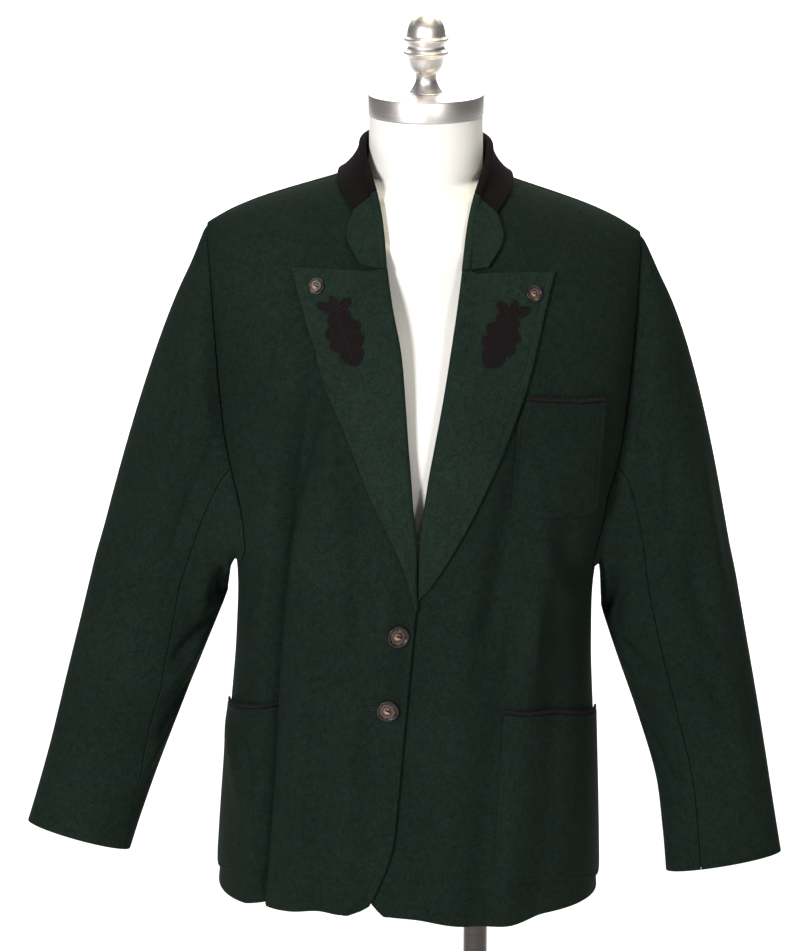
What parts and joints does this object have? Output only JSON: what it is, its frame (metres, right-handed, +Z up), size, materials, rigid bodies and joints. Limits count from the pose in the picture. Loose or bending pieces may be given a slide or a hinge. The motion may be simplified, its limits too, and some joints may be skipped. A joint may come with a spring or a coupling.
{
  "type": "tyrolean loden jacket on a limbless dress form",
  "caption": "Single-breasted green loden jacket with black felt collar, leaf appliqué on the lapels and three patch pockets, worn on a dress form with pole and round base.",
  "frame": {"origin": "centre of the round base's underside, on the neck's axis, on the floor", "axes": "+Z up along the neck, -Y to the garment's front, +X to the wearer's left (the viewer's right)"},
  "size_m": [0.768, 0.33, 1.5518],
  "materials": {
    "green_loden": "dark bottle-green felted wool loden with a soft nap",
    "black_felt": "matte black wool felt and cord",
    "stag_horn": "polished horn buttons, dark rim and pale middle",
    "form_cover": "off-white jersey stretched over the form",
    "satin_steel": "satin",
    "dark_chrome": "polished"
  },
  "bodies": {
    "root": {"front_right": "green_loden", "front_left": "green_loden", "back": "green_loden", "lapel_right": "green_loden", "lapel_left": "green_loden", "collar_back": "black_felt", "collar_front_right": "green_loden", "collar_front_left": "green_loden", "sleeve_right_upper": "green_loden", "sleeve_right_under": "green_loden", "sleeve_left_upper": "green_loden", "sleeve_left_under": "green_loden", "hip_pocket_right": "green_loden", "hip_pocket_left": "green_loden", "breast_pocket": "green_loden", "hip_pocket_right_trim": "black_felt", "hip_pocket_left_trim": "black_felt", "breast_pocket_trim": "black_felt", "button_upper": "stag_horn", "button_lower": "stag_horn", "button_lapel_right": "stag_horn", "button_lapel_left": "stag_horn", "applique_right_leaf": "black_felt", "applique_right_leaflet_inner": "black_felt", "applique_right_leaflet_middle": "black_felt", "applique_right_leaflet_outer": "black_felt", "applique_left_leaf": "black_felt", "applique_left_leaflet_inner": "black_felt", "applique_left_leaflet_middle": "black_felt", "applique_left_leaflet_outer": "black_felt", "form_torso": "form_cover", "neck_cap": "satin_steel", "finial": "satin_steel", "base": "satin_steel", "pole": "dark_chrome", "pole_foot": "dark_chrome"}
  },
  "joints": []
}
